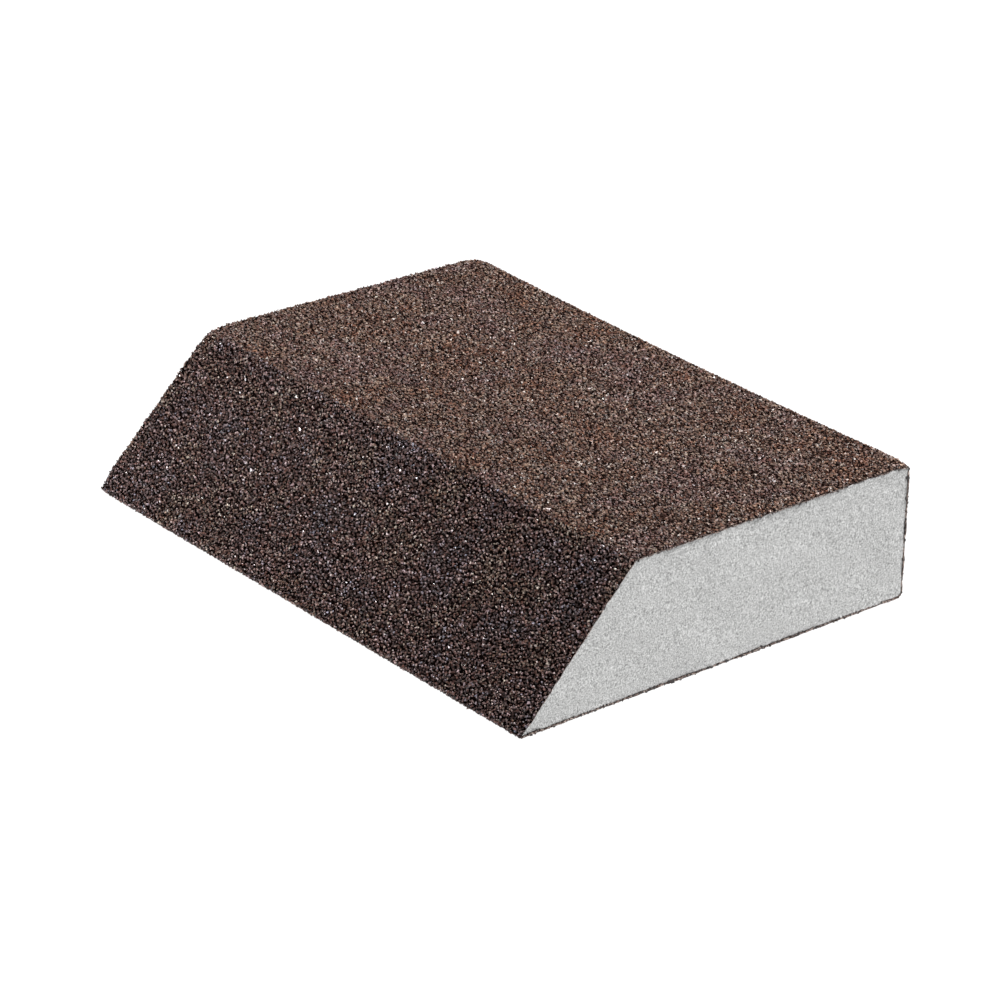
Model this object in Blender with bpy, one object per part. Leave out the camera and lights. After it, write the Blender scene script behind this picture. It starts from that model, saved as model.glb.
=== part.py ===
"""Angled sanding block: a flexible foam core with an abrasive coat on its four long sides.

The section is a right trapezoid with rounded corners, in the XZ plane: a flat base, a square back,
a flat top and a bevel that falls from the ridge to a thin tip. It runs along Y, and both ends are
bare foam. Each coated side is two bonded layers, as on any coated abrasive: a thin film of
flexible binder laid on the foam, and a layer of grit locked into it by a size coat.

Frame: metres, +Z up. The origin is at the middle of the bounding box, at the level of the base.
+X points from the bevelled side to the square back, and Y runs along the length.
"""

import math

import bpy

# Outer size, over the grit.
LENGTH = 0.125
HEIGHT = 0.0264
TOP_WIDTH = 0.0655
BEVEL_ANGLE = math.radians(45)

# Outer radius of each rounded corner of the section.
TIP_RADIUS = 0.0005
BACK_BASE_RADIUS = 0.0015
BACK_TOP_RADIUS = 0.0008
RIDGE_RADIUS = 0.0016

# Layers, from the outside in. GAP keeps each body clear of the next one.
GRIT_THICKNESS = 0.00045
FILM_THICKNESS = 0.00015
GAP = 0.0003
FILM_INSET = GRIT_THICKNESS + GAP
CORE_INSET = FILM_INSET + FILM_THICKNESS + GAP

ARC_STEPS = 6

# Going anticlockwise round the section, seen with +X to the right and +Z up.
SIDES = ("base", "back", "top", "bevel")
NORMAL_ANGLES = {
    "base": math.radians(-90),
    "back": 0.0,
    "top": math.radians(90),
    "bevel": math.radians(90) + BEVEL_ANGLE,
}
# The corner where each side meets the next one.
CORNER_RADII = {
    "base": BACK_BASE_RADIUS,
    "back": BACK_TOP_RADIUS,
    "top": RIDGE_RADIUS,
    "bevel": TIP_RADIUS,
}


def section_width():
    """Width over the rounded tip: the sharp trapezoid's base, less what rounding takes off its tip."""
    sharp = TOP_WIDTH + HEIGHT / math.tan(BEVEL_ANGLE)
    return sharp - TIP_RADIUS * (1 / math.tan(BEVEL_ANGLE / 2) - 1)


def side_distance(side):
    """How far the side's outer face lies from the origin, along its own normal."""
    back = section_width() / 2
    ridge = back - TOP_WIDTH
    return {
        "base": 0.0,
        "back": back,
        "top": HEIGHT,
        "bevel": -ridge * math.sin(BEVEL_ANGLE) + HEIGHT * math.cos(BEVEL_ANGLE),
    }[side]


def next_side(side):
    return SIDES[(SIDES.index(side) + 1) % len(SIDES)]


def turn_angles(side):
    """The normal's angle before and after the corner that follows this side."""
    start = NORMAL_ANGLES[side]
    end = NORMAL_ANGLES[next_side(side)]
    if end < start:
        end += math.tau
    return start, end


def arc_centre(side, inset):
    """Centre of the corner after this side: the two faces, moved in by the larger of inset and radius, cross there."""
    first, second = turn_angles(side)
    depth = max(inset, CORNER_RADII[side])
    a = side_distance(side) - depth
    b = side_distance(next_side(side)) - depth
    spread = math.sin(second - first)
    x = (a * math.sin(second) - b * math.sin(first)) / spread
    z = (b * math.cos(first) - a * math.cos(second)) / spread
    return x, z


def arc(side, inset, start, end):
    """Points of the corner after this side, from one normal angle to another. An inset past the radius gives one point."""
    x, z = arc_centre(side, inset)
    radius = CORNER_RADII[side] - inset
    if radius <= 0:
        return [(x, z)]
    steps = [start + (end - start) * i / ARC_STEPS for i in range(ARC_STEPS + 1)]
    return [(x + radius * math.cos(a), z + radius * math.sin(a)) for a in steps]


def core_outline():
    """The whole section, moved in by the depth of the coats."""
    points = []
    for side in SIDES:
        points += arc(side, CORE_INSET, *turn_angles(side))
    return points


def clear_of_next(points, side, inset):
    """A run that ends on the bisector of the corner after this side, cut back to stand half a GAP off that line."""
    first, second = turn_angles(side)
    middle = (first + second) / 2
    x, z = arc_centre(side, inset)
    off = [abs((px - x) * math.sin(middle) - (pz - z) * math.cos(middle)) for px, pz in points]
    last = max(i for i, distance in enumerate(off) if distance > GAP / 2)
    share = (off[last] - GAP / 2) / (off[last] - off[last + 1])
    (ax, az), (bx, bz) = points[last], points[last + 1]
    return points[: last + 1] + [(ax + share * (bx - ax), az + share * (bz - az))]


def face_run(side, inset):
    """One side at this depth, from halfway round the corner before it to halfway round the corner after it."""
    before = SIDES[SIDES.index(side) - 1]
    first, second = turn_angles(before)
    points = arc(before, inset, (first + second) / 2, second)
    first, second = turn_angles(side)
    points += arc(side, inset, first, (first + second) / 2)
    points = clear_of_next(points, side, inset)
    return clear_of_next(points[::-1], before, inset)[::-1]


def layer_outline(side, inset, thickness):
    """A closed strip that follows one side: its outer run, then its inner run the other way."""
    return face_run(side, inset) + face_run(side, inset + thickness)[::-1]


def material(name, colour, roughness):
    """A plain surface: none of this object's materials is a metal."""
    made = bpy.data.materials.new(name)
    made.use_nodes = True
    shader = made.node_tree.nodes["Principled BSDF"]
    shader.inputs["Base Color"].default_value = (*colour, 1)
    shader.inputs["Roughness"].default_value = roughness
    shader.inputs["Metallic"].default_value = 0
    made.diffuse_color = (*colour, 1)
    return made


def extruded(name, outline, surface, collection, parent):
    """A section in the XZ plane, filled and drawn out along Y over the whole length of the block."""
    flat = bpy.data.curves.new(name, "CURVE")
    flat.dimensions = "2D"
    flat.fill_mode = "BOTH"
    flat.extrude = LENGTH / 2
    spline = flat.splines.new("POLY")
    spline.points.add(len(outline) - 1)
    for point, (x, z) in zip(spline.points, outline):
        point.co = (x, z, 0, 1)
    spline.use_cyclic_u = True
    flat.materials.append(surface)
    made = bpy.data.objects.new(name, flat)
    made.rotation_euler = (math.radians(90), 0, 0)
    made.parent = parent
    collection.objects.link(made)
    return made


def clear_scene():
    for old in list(bpy.data.objects):
        bpy.data.objects.remove(old, do_unlink=True)


def build():
    clear_scene()
    collection = bpy.data.collections.new("sanding_block")
    bpy.context.scene.collection.children.link(collection)
    frame = bpy.data.objects.new("sanding_block_frame", None)
    collection.objects.link(frame)

    foam = material("light_grey_foam", (0.53, 0.53, 0.52), 0.95)
    binder = material("dark_brown_binder", (0.045, 0.026, 0.02), 0.5)
    grit = material("brown_grit", (0.12, 0.08, 0.065), 0.65)

    extruded("foam_core", core_outline(), foam, collection, frame)
    for side in SIDES:
        film = layer_outline(side, FILM_INSET, FILM_THICKNESS)
        coat = layer_outline(side, 0.0, GRIT_THICKNESS)
        extruded(f"{side}_binder_film", film, binder, collection, frame)
        extruded(f"{side}_grit_layer", coat, grit, collection, frame)


build()
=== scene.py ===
import math

import bpy
import numpy as np
from mathutils import Matrix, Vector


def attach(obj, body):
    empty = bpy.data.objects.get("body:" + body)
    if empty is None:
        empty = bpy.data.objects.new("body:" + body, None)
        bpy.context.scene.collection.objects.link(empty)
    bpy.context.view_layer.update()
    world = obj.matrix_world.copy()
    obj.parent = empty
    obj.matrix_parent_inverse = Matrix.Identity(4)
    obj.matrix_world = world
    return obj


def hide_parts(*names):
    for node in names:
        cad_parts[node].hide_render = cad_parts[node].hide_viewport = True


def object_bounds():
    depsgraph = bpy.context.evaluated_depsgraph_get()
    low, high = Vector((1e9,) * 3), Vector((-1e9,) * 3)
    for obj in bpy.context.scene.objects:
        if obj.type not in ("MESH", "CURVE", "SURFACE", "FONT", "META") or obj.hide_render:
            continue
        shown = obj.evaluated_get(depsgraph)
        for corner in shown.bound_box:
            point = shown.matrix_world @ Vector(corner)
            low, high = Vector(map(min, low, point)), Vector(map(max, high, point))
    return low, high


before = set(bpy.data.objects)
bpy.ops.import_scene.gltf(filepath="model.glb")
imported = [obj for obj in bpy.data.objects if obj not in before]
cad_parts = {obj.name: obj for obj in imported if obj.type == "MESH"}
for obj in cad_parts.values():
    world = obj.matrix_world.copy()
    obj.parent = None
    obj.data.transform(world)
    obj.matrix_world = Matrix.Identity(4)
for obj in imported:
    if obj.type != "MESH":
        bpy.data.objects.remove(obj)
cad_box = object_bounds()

# ---------------------------------------------------------------------------------------------
# Foam core. Light-grey polyurethane foam with very fine closed cells, sliced from a slab with a
# band knife. The sawn ends stay bare, so their cut cells show; the long sides lie under the coats.
# ---------------------------------------------------------------------------------------------

MM = 0.001
HALF_LENGTH = cad_box[1][1]
HEIGHT = cad_box[1][2]
BACK = cad_box[1][0]
TOP_WIDTH = 65.5 * MM
BEVEL = math.radians(45)
# The whole thickness of a coat, from the foam out to the grain tips.
COAT = 0.48 * MM

# Going anticlockwise round the section, seen with +X to the right and +Z up: the direction that
# each side faces, how far it lies from the origin that way, and the radius of the corner after it.
RIDGE_AT = BACK - TOP_WIDTH
BEVEL_AT = HEIGHT * math.cos(BEVEL) - RIDGE_AT * math.sin(BEVEL)
SIDES = {
    "base": (math.radians(-90), 0.0, 1.5 * MM),
    "back": (0.0, BACK, 0.8 * MM),
    "top": (math.radians(90), HEIGHT, 1.6 * MM),
    "bevel": (math.radians(90) + BEVEL, BEVEL_AT, 0.5 * MM),
}
ORDER = list(SIDES)

# How far each corner of the two sawn ends really lies from true, in millimetres along X, Y and Z.
# By end (-Y, then +Y), by level (base, then top), by edge (bevel, then back).
CORNER_MOVES = np.array(
    [
        [[(-0.3, -0.7, 0), (-0.15, -0.65, 0)], [(-0.35, 0.45, 0.15), (0.25, 0.05, 0.5)]],
        [[(-0.65, -0.8, 0), (0, 0, 0)], [(0.3, 0, 0.4), (1.15, -0.8, 0.05)]],
    ]
)

# Blunt corners: where each lies, and how far it is pushed in, in millimetres. The push fades over the reach.
BLUNT_CORNERS = [
    ((RIDGE_AT, HALF_LENGTH, HEIGHT), (0, -0.1, -0.5)),
    ((BACK, HALF_LENGTH, HEIGHT), (-0.1, -0.3, -0.45)),
    ((BACK, -HALF_LENGTH, HEIGHT), (-0.15, 0, -0.45)),
    ((-BACK, HALF_LENGTH, 0), (0.35, -0.5, 0)),
]
BLUNT_REACH = 2.5 * MM

# How far the top sags midway between its ends.
SAG_AT_RIDGE = 0.65 * MM
SAG_AT_BACK = 0.75 * MM

# The sawn ends: how far they stop short of true, and the width and height of the knife's slow wave and of
# the cells that it tears open.
END_SHORT = 0.12 * MM
WAVE_WIDTH, WAVE_HEIGHT = 7 * MM, 0.12 * MM
CELL_WIDTH, CELL_HEIGHT = 0.55 * MM, 0.05 * MM


def corner_after(side):
    """The arc that joins this side to the next: its centre, its radius, and the normal's angle at its start
    and its end. The centre is where the two faces, each moved in by the radius, cross."""
    first, a, radius = SIDES[side]
    second, b, _ = SIDES[ORDER[(ORDER.index(side) + 1) % 4]]
    second += math.tau if second < first else 0
    a, b = a - radius, b - radius
    spread = math.sin(second - first)
    x = (a * math.sin(second) - b * math.sin(first)) / spread
    z = (b * math.cos(first) - a * math.cos(second)) / spread
    return np.array([x, z]), radius, first, second


def side_path(side):
    """Where a side's outer face runs: half the corner before it, its flat, half the corner after it.
    Returns the running length at the four joints, the two corners, and the point where the flat starts."""
    before = corner_after(ORDER[ORDER.index(side) - 1])
    after = corner_after(side)
    start = before[0] + before[1] * np.array([math.cos(before[3]), math.sin(before[3])])
    end = after[0] + after[1] * np.array([math.cos(after[2]), math.sin(after[2])])
    half_before = before[1] * (before[3] - before[2]) / 2
    half_after = after[1] * (after[3] - after[2]) / 2
    knots = np.cumsum([0, half_before, np.linalg.norm(end - start), half_after])
    return knots, before, after, start


def skin(side, s, depth):
    """A point of the section at running length s on a side's outer face, moved in by depth along the
    normal. On the flat the foot point runs straight; on each half corner it turns about its centre.
    Returns x, z and the angle of the normal, as arrays."""
    knots, before, after, start = side_path(side)
    facing = before[3]
    turn_in, turn_out = (before[2] - before[3]) / 2, (after[3] - after[2]) / 2
    angle = np.interp(s, knots, [facing + turn_in, facing, facing, facing + turn_out])
    along = s - knots[1]
    x = start[0] - along * math.sin(facing)
    z = start[1] + along * math.cos(facing)
    for corner, there in ((before, s < knots[1]), (after, s > knots[2])):
        x = np.where(there, corner[0][0] + corner[1] * np.cos(angle), x)
        z = np.where(there, corner[0][1] + corner[1] * np.sin(angle), z)
    return x - depth * np.cos(angle), z - depth * np.sin(angle), angle


def mottle(u, v, cell, seed):
    """Smooth random height from -1 to 1: random values on a square lattice of this cell, joined by steps of
    3a^2 - 2a^3. The lattice repeats after 64 cells."""
    table = np.random.default_rng(seed).uniform(-1, 1, (64, 64))
    i, j = np.floor(u / cell).astype(int), np.floor(v / cell).astype(int)
    a, b = u / cell - i, v / cell - j
    a, b = a * a * (3 - 2 * a), b * b * (3 - 2 * b)
    near = table[i % 64, j % 64] * (1 - a) + table[(i + 1) % 64, j % 64] * a
    far = table[i % 64, (j + 1) % 64] * (1 - a) + table[(i + 1) % 64, (j + 1) % 64] * a
    return near * (1 - b) + far * b


def settled(points):
    """The block as soft foam really comes, a little out of square. Every point takes the eight corners'
    moves in proportion to how near it lies to each, along, up and across. The top also sags between its
    ends as a parabola, and some corners are blunt: each is pushed in by an amount that fades away from it
    as a bell curve."""
    x, y, z = points.T
    up = z / HEIGHT
    edge = RIDGE_AT * up - BACK * (1 - up)
    across = (x - edge) / (BACK - edge)
    along = 0.5 + y / (2 * HALF_LENGTH)
    shares = [np.stack([1 - share, share]) for share in (along, up, across)]
    moved = points + MM * np.einsum("in,jn,kn,ijkc->nc", *shares, CORNER_MOVES)
    sag = SAG_AT_RIDGE * (1 - across) + SAG_AT_BACK * across
    moved[:, 2] -= sag * up * 4 * along * (1 - along)
    for corner, push in BLUNT_CORNERS:
        off_corner = ((points - corner) ** 2).sum(axis=1) / BLUNT_REACH**2
        moved += MM * np.exp(-off_corner)[:, None] * np.array(push)
    return moved


def grid_quads(rows, columns, wrap=False):
    """Quads of a grid of points stored row by row. Wrapped, the last column joins the first."""
    r, c = np.meshgrid(np.arange(rows - 1), np.arange(columns if wrap else columns - 1), indexing="ij")
    right = (c + 1) % columns
    corners = [r * columns + c, r * columns + right, (r + 1) * columns + right, (r + 1) * columns + c]
    return np.stack(corners, axis=-1).reshape(-1, 4)


def new_piece(name, points, faces, smooth=True):
    """A mesh object from whole arrays of points and of faces that have the same number of corners."""
    points, faces = np.asarray(points, np.float32), np.asarray(faces, np.int32)
    mesh = bpy.data.meshes.new(name)
    mesh.vertices.add(len(points))
    mesh.vertices.foreach_set("co", points.ravel())
    mesh.loops.add(faces.size)
    mesh.loops.foreach_set("vertex_index", faces.ravel())
    mesh.polygons.add(len(faces))
    mesh.polygons.foreach_set("loop_start", np.arange(0, faces.size, faces.shape[1], dtype=np.int32))
    mesh.polygons.foreach_set("use_smooth", np.full(len(faces), smooth))
    mesh.update(calc_edges=True)
    piece = bpy.data.objects.new(name, mesh)
    bpy.context.scene.collection.objects.link(piece)
    return piece


def srgb(code):
    """A hex colour as linear red, green, blue and alpha."""
    parts = [int(code[i : i + 2], 16) / 255 for i in (1, 3, 5)]
    return (*[p / 12.92 if p <= 0.04045 else ((p + 0.055) / 1.055) ** 2.4 for p in parts], 1.0)


def add_node(tree, kind, sockets=None, **settings):
    """A shader node with its settings. Each socket named is given a value, or is linked to the output that
    feeds it."""
    made = tree.nodes.new("ShaderNode" + kind)
    for name, value in settings.items():
        setattr(made, name, value)
    for name, value in (sockets or {}).items():
        if isinstance(value, bpy.types.NodeSocket):
            tree.links.new(value, made.inputs[name])
        else:
            made.inputs[name].default_value = value
    return made


def colour_ramp(tree, factor, *stops):
    """A colour ramp through (place, hex colour) stops."""
    ramp = add_node(tree, "ValToRGB", {"Fac": factor})
    for place, _ in stops[1:-1]:
        ramp.color_ramp.elements.new(place)
    for element, (place, code) in zip(ramp.color_ramp.elements, stops):
        element.position = place
        element.color = srgb(code)
    return ramp.outputs["Color"]


def mixed(tree, factor, first, second, blend="MIX"):
    """Two colours mixed by a factor, or the second laid over the first with another blend."""
    sockets = {"Factor": factor, 6: first, 7: second}
    return add_node(tree, "Mix", sockets, data_type="RGBA", blend_type=blend).outputs[2]


def start_material(name):
    """An empty material: its tree, its Principled shader and the object coordinates."""
    made = bpy.data.materials.new(name)
    made.use_nodes = True
    tree = made.node_tree
    shader = tree.nodes["Principled BSDF"]
    place = add_node(tree, "TexCoord").outputs["Object"]
    return made, tree, shader, place


def cut_foam():
    """Polyurethane foam sawn with a band knife: dull light grey, cloudy where pale cell walls and painted
    shade in the cut cells alternate, with a scatter of larger pores painted dark as shade, and no highlight.
    The real cells are 0.1 to 0.2 mm, too fine to be told apart, so the clouds are drawn at 0.31 mm."""
    made, tree, shader, place = start_material("polyurethane_foam_sawn")
    cells = add_node(
        tree, "TexNoise", {"Vector": place, "Scale": 1 / (0.31 * MM), "Detail": 2.0, "Roughness": 0.8}
    )
    cloud = colour_ramp(tree, cells.outputs["Fac"], (0.3, "#888888"), (0.5, "#c9c9c8"), (0.7, "#f4f4f3"))
    # Painted shade: the larger pores are spots of darker grey #949594.
    pores = add_node(tree, "TexVoronoi", {"Vector": place, "Scale": 1 / (1.7 * MM), "Randomness": 1.0})
    spot = add_node(
        tree, "MapRange", {"Value": pores.outputs["Distance"], "From Min": 0.07, "From Max": 0.16}
    )
    colour = mixed(tree, spot.outputs["Result"], srgb("#949594"), cloud)
    tree.links.new(colour, shader.inputs["Base Color"])
    bump = add_node(
        tree, "Bump", {"Height": cells.outputs["Fac"], "Strength": 0.35, "Distance": 0.12 * MM}
    )
    tree.links.new(bump.outputs["Normal"], shader.inputs["Normal"])
    shader.inputs["Roughness"].default_value = 0.95
    shader.inputs["Specular IOR Level"].default_value = 0.2
    return made


def foam_edge(side, corners):
    """One side of the foam's section with the whole of both its corners, as z and x from bottom to top."""
    samples = 300
    runs = [(side, 0, 3)] + corners
    x, z = [], []
    for part, first, last in runs:
        knots = side_path(part)[0]
        part_x, part_z, _ = skin(part, np.linspace(knots[first], knots[last], samples), COAT)
        x.append(part_x)
        z.append(part_z)
    x, z = np.concatenate(x), np.concatenate(z)
    order = np.argsort(z, kind="stable")
    return z[order], x[order]


def foam_section():
    """The section inside the coats as rows from base to top. Each row runs straight from the bevelled side
    to the back, between the points of the outline at that height. The rows crowd towards base and top,
    where the corners turn. Returns x and z, each rows by columns."""
    cell = 0.27 * MM
    crowding = 0.8
    left = foam_edge("bevel", [("top", 2, 3), ("base", 0, 1)])
    right = foam_edge("back", [("base", 2, 3), ("top", 0, 1)])
    low, high = COAT, HEIGHT - COAT
    rows, columns = int((high - low) / cell), int(2 * BACK / cell)
    z = low + (high - low) * (0.5 - 0.5 * np.cos(np.linspace(0, math.pi, rows))) ** crowding
    across = np.linspace(0, 1, columns)
    x = np.interp(z, *left)[:, None] * (1 - across) + np.interp(z, *right)[:, None] * across
    return x, np.repeat(z[:, None], columns, axis=1)


def foam_mesh():
    """Two sawn ends, each a grid over the section that stands in and out by its torn cells and by the
    knife's wave, joined by plain sides along the length."""
    x, z = foam_section()
    rows, columns = x.shape
    ends = []
    for sign, seed in ((-1, 11), (1, 23)):
        cells = CELL_HEIGHT * mottle(x, z, CELL_WIDTH, seed)
        wave = WAVE_HEIGHT * mottle(x, z, WAVE_WIDTH, seed + 1)
        y = sign * (HALF_LENGTH - END_SHORT) + cells + wave
        ends.append(np.column_stack([x.ravel(), y.ravel(), z.ravel()]))
    near = grid_quads(rows, columns)
    far = near[:, ::-1] + rows * columns
    index = np.arange(rows * columns).reshape(rows, columns)
    loop = np.concatenate([index[0, :-1], index[:-1, -1], index[-1, :0:-1], index[:0:-1, 0]])
    steps = 24
    share = np.linspace(0, 1, steps)[1:-1, None, None]
    between = ends[0][loop] * (1 - share) + ends[1][loop] * share
    middle = 2 * rows * columns + np.arange((steps - 2) * len(loop)).reshape(steps - 2, -1)
    rings = np.vstack([loop, middle, loop + rows * columns])
    sides = rings.ravel()[grid_quads(steps, len(loop), wrap=True)]
    points = np.vstack([*ends, between.reshape(-1, 3)])
    return settled(points), np.vstack([near, far, sides[:, ::-1]])


foam = new_piece("foam_core_sawn", *foam_mesh())
foam.data.materials.append(cut_foam())
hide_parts("foam_core")
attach(foam, "root")

# ---------------------------------------------------------------------------------------------
# Binder films. A coat of flexible dark-brown resin, rolled on the foam one side at a time. It sinks
# into the cut cells, so it lies uneven, and its edge at each sawn end is a little ragged.
# ---------------------------------------------------------------------------------------------

# How far the resin's face lies under the grain tips.
FILM_DEPTHS = {"base": 0.2 * MM, "back": 0.2 * MM, "top": 0.38 * MM, "bevel": 0.43 * MM}

# The lumps in its face, the places where it has soaked into the foam, and the wander of its cut edge.
LUMP_WIDTH, LUMP_HEIGHT = 0.7 * MM, 0.06 * MM
SOAK_WIDTH, SOAK_DEPTH = 0.8 * MM, 0.22 * MM
WANDER_LENGTH, WANDER = 1.4 * MM, 0.1 * MM


def resin():
    """Phenolic make coat, near black and half gloss: partly the resin's own dark brown, and partly painted
    shade for the dark gaps between the grains, where it shows. Where the saw went through, its section is
    packed with crushed grit: brown, and speckled every few tenths of a millimetre."""
    made, tree, shader, place = start_material("phenolic_resin_make_coat")
    blotch = add_node(tree, "TexNoise", {"Vector": place, "Scale": 1 / (3 * MM), "Detail": 3.0})
    # Near black: the resin's own dark brown, darkened further as painted shade for the gaps between the
    # grains.
    face = colour_ramp(tree, blotch.outputs["Fac"], (0.3, "#0a0201"), (0.7, "#180602"))
    speck = add_node(tree, "TexNoise", {"Vector": place, "Scale": 1 / (0.35 * MM), "Detail": 1.0})
    section = colour_ramp(
        tree, speck.outputs["Fac"], (0.34, "#2c201c"), (0.5, "#82706a"), (0.66, "#c8bab1")
    )
    sawn = add_node(tree, "Attribute", attribute_name="sawn_end").outputs["Fac"]
    tree.links.new(mixed(tree, sawn, face, section), shader.inputs["Base Color"])
    fine = add_node(tree, "TexNoise", {"Vector": place, "Scale": 1 / (0.4 * MM), "Detail": 2.0})
    rough = add_node(tree, "MapRange", {"Value": fine.outputs["Fac"], "To Min": 0.45, "To Max": 0.85})
    tree.links.new(rough.outputs["Result"], shader.inputs["Roughness"])
    bump = add_node(
        tree, "Bump", {"Height": fine.outputs["Fac"], "Strength": 0.5, "Distance": 0.1 * MM}
    )
    tree.links.new(bump.outputs["Normal"], shader.inputs["Normal"])
    shader.inputs["Specular IOR Level"].default_value = 0.06
    return made


def ragged(side, s, end):
    """How far a coat runs past the foam at one end of the block, as its cut edge wanders."""
    seed = 40 + 2 * ORDER.index(side) + (end > 0)
    return WANDER * mottle(s, s * 0, WANDER_LENGTH, seed)


def film_mesh(side):
    """A closed sheet: its section runs out along the resin's face and back along the foam's, and is carried
    from one ragged end to the other. The outer face swells and sinks by a smooth random height, and the
    inner one by how far the resin has soaked into the foam's cut cells. Returns points, faces, and for each
    face 1 at a sawn end and 0 elsewhere."""
    cell = 0.5 * MM
    total = side_path(side)[0][-1]
    across = int(total / cell)
    along = int(2 * HALF_LENGTH / cell)
    s = np.linspace(0, total, across)
    loop_s = np.concatenate([s, s[::-1]])
    outer = np.concatenate([np.ones(across), np.zeros(across)])
    share = np.linspace(-1, 1, along)[:, None]
    y = share * (HALF_LENGTH + np.where(share > 0, ragged(side, loop_s, 1), ragged(side, loop_s, -1)))
    grid_s = np.repeat(loop_s[None], along, axis=0)
    lumps = LUMP_HEIGHT * mottle(grid_s, y, LUMP_WIDTH, 60 + ORDER.index(side))
    soak = SOAK_DEPTH * np.abs(mottle(grid_s, y, SOAK_WIDTH, 70 + ORDER.index(side)))
    depth = np.where(outer > 0, FILM_DEPTHS[side] + lumps, COAT + 0.01 * MM + soak)
    x, z, _ = skin(side, grid_s, depth)
    points = np.column_stack([x.ravel(), y.ravel(), z.ravel()])
    ring = 2 * across
    body = grid_quads(along, ring, wrap=True)
    c = np.arange(across - 1)
    near = np.column_stack([c, c + 1, ring - 2 - c, ring - 1 - c])
    far = near[:, ::-1] + (along - 1) * ring
    is_end = np.repeat([0.0, 1.0], [len(body), len(near) + len(far)])
    return settled(points), np.vstack([body[:, ::-1], near[:, ::-1], far[:, ::-1]]), is_end


make_coat = resin()
for side in ORDER:
    points, faces, is_end = film_mesh(side)
    film = new_piece(f"{side}_make_coat", points, faces, smooth=False)
    sawn_end = film.data.attributes.new("sawn_end", "FLOAT", "FACE")
    sawn_end.data.foreach_set("value", is_end.astype(np.float32))
    film.data.materials.append(make_coat)
    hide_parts(f"{side}_binder_film")
    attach(film, "root")

# ---------------------------------------------------------------------------------------------
# Grit layers. Crushed brown aluminium oxide, coarse grains about 0.6 mm across with finer ones
# between them, dropped into the wet resin and locked by a thin size coat. Their feet are painted
# darker, partly for that coat and partly as painted shade in the gaps between the grains.
# ---------------------------------------------------------------------------------------------


def brown_alumina():
    """Brown fused alumina under a phenolic size coat: sharp facets from umber to pale grey, with a rusty,
    pink or blue cast from grain to grain, glassy at the broken tips. Each grain darkens from its tips down
    to the resin: partly the size coat climbing its sides, and partly painted shade in the gaps between
    grains."""
    made, tree, shader, _ = start_material("brown_fused_alumina_grit")
    tone = add_node(tree, "Attribute", attribute_name="grain_tone").outputs["Fac"]
    cast = add_node(tree, "Attribute", attribute_name="grain_cast").outputs["Fac"]
    rise = add_node(tree, "Attribute", attribute_name="grain_rise").outputs["Fac"]
    mineral = colour_ramp(
        tree,
        tone,
        (0.0, "#340d04"),
        (0.3, "#704b3a"),
        (0.6, "#9c887d"),
        (0.85, "#c4bab3"),
        (1.0, "#f0ebe7"),
    )
    # The pink stop at 0.62 is the bevel's middle cast: there the grit is painted plum, as shade for the
    # grazing light on the bevel.
    casts = colour_ramp(
        tree, cast, (0.0, "#ffceb0"), (0.35, "#fef7ea"), (0.62, "#ffe0e6"), (1.0, "#d4deff")
    )
    tinted = mixed(tree, 1.0, mineral, casts, "MULTIPLY")
    # Painted shade: each grain darkens from its tips down to the resin towards #180501, partly for the size
    # coat that wets its feet and partly for the shade in the gaps between the grains.
    feet_wetting_and_shade = add_node(tree, "MapRange", {"Value": rise, "From Min": 0.1, "From Max": 0.75})
    colour = mixed(tree, feet_wetting_and_shade.outputs["Result"], srgb("#180501"), tinted)
    tree.links.new(colour, shader.inputs["Base Color"])
    rough = add_node(tree, "MapRange", {"Value": tone, "From Min": 0.4, "To Min": 0.62, "To Max": 0.28})
    tree.links.new(rough.outputs["Result"], shader.inputs["Roughness"])
    shader.inputs["IOR"].default_value = 1.6
    shader.inputs["Specular IOR Level"].default_value = 0.65
    return made


# One grain is an eight-faced crystal: two points on each of its own three axes.
GRAIN_POINTS = np.array([[1, 0, 0], [-1, 0, 0], [0, 1, 0], [0, -1, 0], [0, 0, 1], [0, 0, -1]], float)
GRAIN_FACES = np.array(
    [[0, 2, 4], [2, 1, 4], [1, 3, 4], [3, 0, 4], [2, 0, 5], [1, 2, 5], [3, 1, 5], [0, 3, 5]]
)


def random_turns(random, count):
    """Evenly spread random rotations, from unit quaternions of four normal numbers."""
    q = random.normal(size=(4, count))
    w, x, y, z = q / np.linalg.norm(q, axis=0)
    rows = [
        [1 - 2 * (y * y + z * z), 2 * (x * y - w * z), 2 * (x * z + w * y)],
        [2 * (x * y + w * z), 1 - 2 * (x * x + z * z), 2 * (y * z - w * x)],
        [2 * (x * z - w * y), 2 * (y * z + w * x), 1 - 2 * (x * x + y * y)],
    ]
    return np.moveaxis(np.array(rows), -1, 0)


# The grit is the same on every side, but its colour numbers differ by side: the bevel's plum cast, its
# darker and wider spread of tones and its wider facet stray, set against the top's, are painted shade and
# painted glints for the grazing light on the bevel. For each side: its middle cast, from rusty at 0 to blue
# grey at 1, the two shape numbers of its spread of tones, how far one facet strays from its grain's tone,
# how far apart and how large its grains are against the grades below, and how much of a cut grain the knife
# leaves clear of resin.
SIDE_GRIT_AND_PAINTED_LIGHT = {
    "base": (0.5, 1.6, 2.3, 0.12, 1.0, 1.0, 0.1),
    "back": (0.45, 1.6, 2.3, 0.12, 1.0, 1.0, 0.1),
    "top": (0.35, 3.2, 4.4, 0.08, 1.0, 1.0, 0.6),
    "bevel": (0.62, 1.0, 1.8, 0.24, 0.97, 0.86, 0.6),
}

# How far the grit stands past the foam at each sawn end.
OVERHANG = 0.08 * MM


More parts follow.
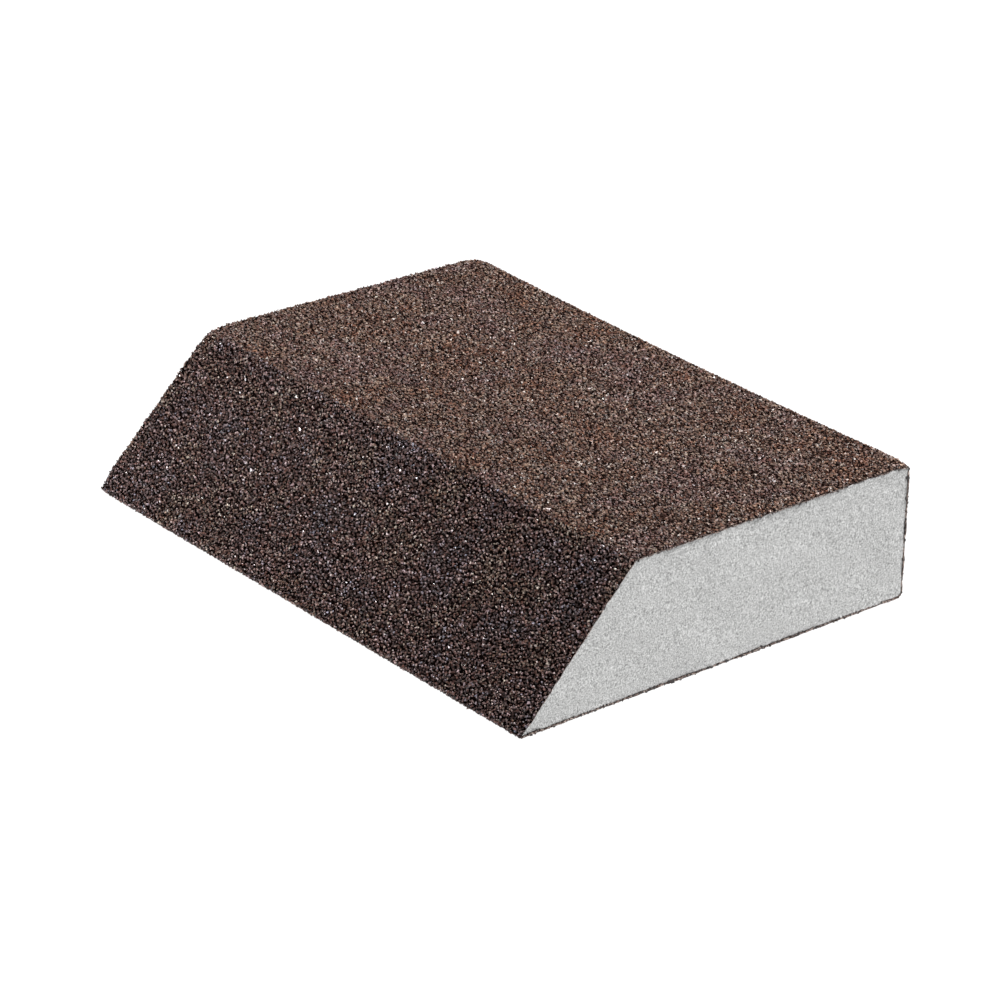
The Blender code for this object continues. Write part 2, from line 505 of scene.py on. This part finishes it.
def grit_mesh(side, pitch, radius, shortfall, seed):
    """Grains on a side, one at a random place in each square of this pitch. Each crystal is stretched,
    skewed and turned at random, then set so that its highest point stops a random part of the shortfall
    under the outer face. At the sawn ends the knife cuts the grains off flush. The cast drifts in patches
    of about 1, 4 and 7 mm. Returns points, faces, and the grains' attributes: tone and colour cast by
    facet, and rise above the resin by point."""
    random = np.random.default_rng(seed)
    # On the bevel the cast, the spread of tones and the facet stray are painted shade and painted glints,
    # not a different grit.
    middle, low, high, facet, spacing, fineness, smear = SIDE_GRIT_AND_PAINTED_LIGHT[side]
    pitch, radius = pitch * spacing, radius * fineness
    total = side_path(side)[0][-1]
    across = max(int(total / pitch), 1)
    along = int(2 * HALF_LENGTH / pitch)
    i, j = np.meshgrid(np.arange(across), np.arange(along), indexing="ij")
    count = i.size
    s = (i.ravel() + random.uniform(0, 1, count)) / across * total
    y = ((j.ravel() + random.uniform(0, 1, count)) / along * 2 - 1) * (HALF_LENGTH + OVERHANG)
    size = radius * random.lognormal(0, 0.2, count)
    stretch = random.uniform(0.7, 1.25, (count, 1, 3))
    skew = random.normal(0, 0.18, (count, 6, 3))
    shape = (GRAIN_POINTS * stretch + skew) * size[:, None, None]
    shape = np.einsum("nij,nkj->nki", random_turns(random, count), shape)
    sunk = shape[:, :, 2].max(axis=1) + shortfall * random.uniform(0, 1, count)
    x, z, angle = skin(side, s, sunk)
    px = x[:, None] - shape[:, :, 0] * np.sin(angle)[:, None] + shape[:, :, 2] * np.cos(angle)[:, None]
    pz = z[:, None] + shape[:, :, 0] * np.cos(angle)[:, None] + shape[:, :, 2] * np.sin(angle)[:, None]
    reach = (HALF_LENGTH + OVERHANG + np.where(y > 0, ragged(side, s, 1), ragged(side, s, -1)))[:, None]
    py = y[:, None] + shape[:, :, 1]
    cut = np.abs(py) > reach
    py = np.clip(py, -reach, reach)
    points = np.stack([px, py, pz], axis=-1).reshape(-1, 3)
    faces = (GRAIN_FACES[None] + 6 * np.arange(count)[:, None, None]).reshape(-1, 3)
    patch = 0.2 * mottle(s, y, 1.2 * MM, seed) + 0.2 * mottle(s, y, 3.5 * MM, seed + 1)
    tone = random.beta(low, high, count)[:, None] + random.normal(0, facet, (count, 8))
    cloud = 0.26 * mottle(s, y, 7 * MM, 90 + ORDER.index(side))
    cast = middle + patch + cloud + random.normal(0, 0.07, count)
    film = FILM_DEPTHS[side]
    # The rise drives the painted shade at the grains' feet.
    rise = np.clip((film - sunk[:, None] + shape[:, :, 2]) / film, 0, 1)
    rise = np.where(cut, rise * smear, rise)
    return settled(points), faces, {
        "grain_tone": ("FACE", np.clip(tone, 0, 1)),
        "grain_cast": ("FACE", np.repeat(np.clip(cast, 0, 1), 8)),
        "grain_rise": ("POINT", rise),
    }


# For each grade: the squares that hold one grain each, the grain's half width, and the shortfall.
GRADES = {
    "coarse": (0.68 * MM, 0.34 * MM, 0.14 * MM),
    "medium": (0.70 * MM, 0.28 * MM, 0.22 * MM),
    "fine": (0.80 * MM, 0.21 * MM, 0.32 * MM),
}
alumina = brown_alumina()
for side in ORDER:
    for number, (grade, sizes) in enumerate(GRADES.items()):
        seed = 100 + 10 * ORDER.index(side) + number
        points, faces, values = grit_mesh(side, *sizes, seed)
        grit = new_piece(f"{side}_grit_{grade}", points, faces, smooth=False)
        for name, (domain, value) in values.items():
            layer = grit.data.attributes.new(name, "FLOAT", domain)
            layer.data.foreach_set("value", value.ravel().astype(np.float32))
        grit.data.materials.append(alumina)
        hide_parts(f"{side}_grit_layer")
        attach(grit, "root")

# ---------------------------------------------------------------------------------------------
# Stage: a white light table that glows from below so that no shadow shows on it, one soft key light
# high on the right, a narrow fill along the bevel from far left, a white surround and a long lens.
# ---------------------------------------------------------------------------------------------

FLOOR_HALF_WIDTH = 4.0
FLOOR_DROP = 0.1 * MM
floor_corners = np.array([(-1, -1, 0), (1, -1, 0), (1, 1, 0), (-1, 1, 0)]) * FLOOR_HALF_WIDTH
floor_corners[:, 2] = -FLOOR_DROP
floor = new_piece("light_table", floor_corners, np.array([[0, 1, 2, 3]]))
glow, _, table, _ = start_material("opal_light_table")
table.inputs["Base Color"].default_value = srgb("#595959")
table.inputs["Roughness"].default_value = 0.9
table.inputs["Specular IOR Level"].default_value = 0.1
table.inputs["Emission Color"].default_value = srgb("#ffffff")
table.inputs["Emission Strength"].default_value = 1.03
floor.data.materials.append(glow)


def turned_to(place, aim, roll=0.0):
    """Rotation that points an object's -Z from place to aim, with +Y up, then rolled about that line."""
    back = np.array(place, float) - np.array(aim, float)
    back /= np.linalg.norm(back)
    right = np.cross([0, 0, 1], back)
    right /= np.linalg.norm(right)
    up = np.cross(back, right)
    c, s = math.cos(roll), math.sin(roll)
    return Matrix(np.column_stack([c * right + s * up, c * up - s * right, back]).tolist()).to_euler()


def white_lamp(name, kind, watts, place, aim):
    """A white lamp of this kind that stands at its place and shines at its aim, in metres."""
    lamp = bpy.data.lights.new(name, kind)
    lamp.energy = watts
    made = bpy.data.objects.new(name, lamp)
    made.location = place
    made.rotation_euler = turned_to(place, aim)
    bpy.context.scene.collection.objects.link(made)
    return lamp


key = white_lamp("key_softbox", "AREA", 26.5, (0.643, -0.298, 1.090), (0, 0, 0))
key.size = 0.4
fill = white_lamp("fill_spot", "SPOT", 38.0, (-0.96, 0.69, 0.12), (-0.022, 0.115, 0))
fill.spot_size = math.radians(17)
fill.spot_blend = 1.0
fill.shadow_soft_size = 0.06

# The surround is white to the eye and throws only a little light on the block.
SURROUND_LIGHT = 0.03
world = bpy.data.worlds.new("studio_surround")
world.use_nodes = True
tree = world.node_tree
surround = tree.nodes["Background"]
surround.inputs["Color"].default_value = srgb("#ffffff")
seen = add_node(tree, "LightPath").outputs["Is Camera Ray"]
glare = add_node(tree, "MapRange", {"Value": seen, "To Min": SURROUND_LIGHT, "To Max": 1.0})
tree.links.new(glare.outputs["Result"], surround.inputs["Strength"])
bpy.context.scene.world = world
bpy.context.scene.view_settings.view_transform = "Standard"

CAMERA_AIM = np.array([-37.65, -46.6, 36.6]) * MM
CAMERA_DISTANCE = 708.7 * MM
AZIMUTH, ELEVATION, ROLL = math.radians(-40.34), math.radians(25.12), math.radians(1.68)
towards = np.array(
    [
        math.sin(AZIMUTH) * math.cos(ELEVATION),
        -math.cos(AZIMUTH) * math.cos(ELEVATION),
        math.sin(ELEVATION),
    ]
)
lens = bpy.data.cameras.new("long_lens")
lens.lens = 150
lens.sensor_width = 36
lens.clip_start = 0.01
camera = bpy.data.objects.new("camera", lens)
camera.location = CAMERA_AIM + CAMERA_DISTANCE * towards
camera.rotation_euler = turned_to(camera.location, CAMERA_AIM, ROLL)
bpy.context.scene.collection.objects.link(camera)
bpy.context.scene.camera = camera
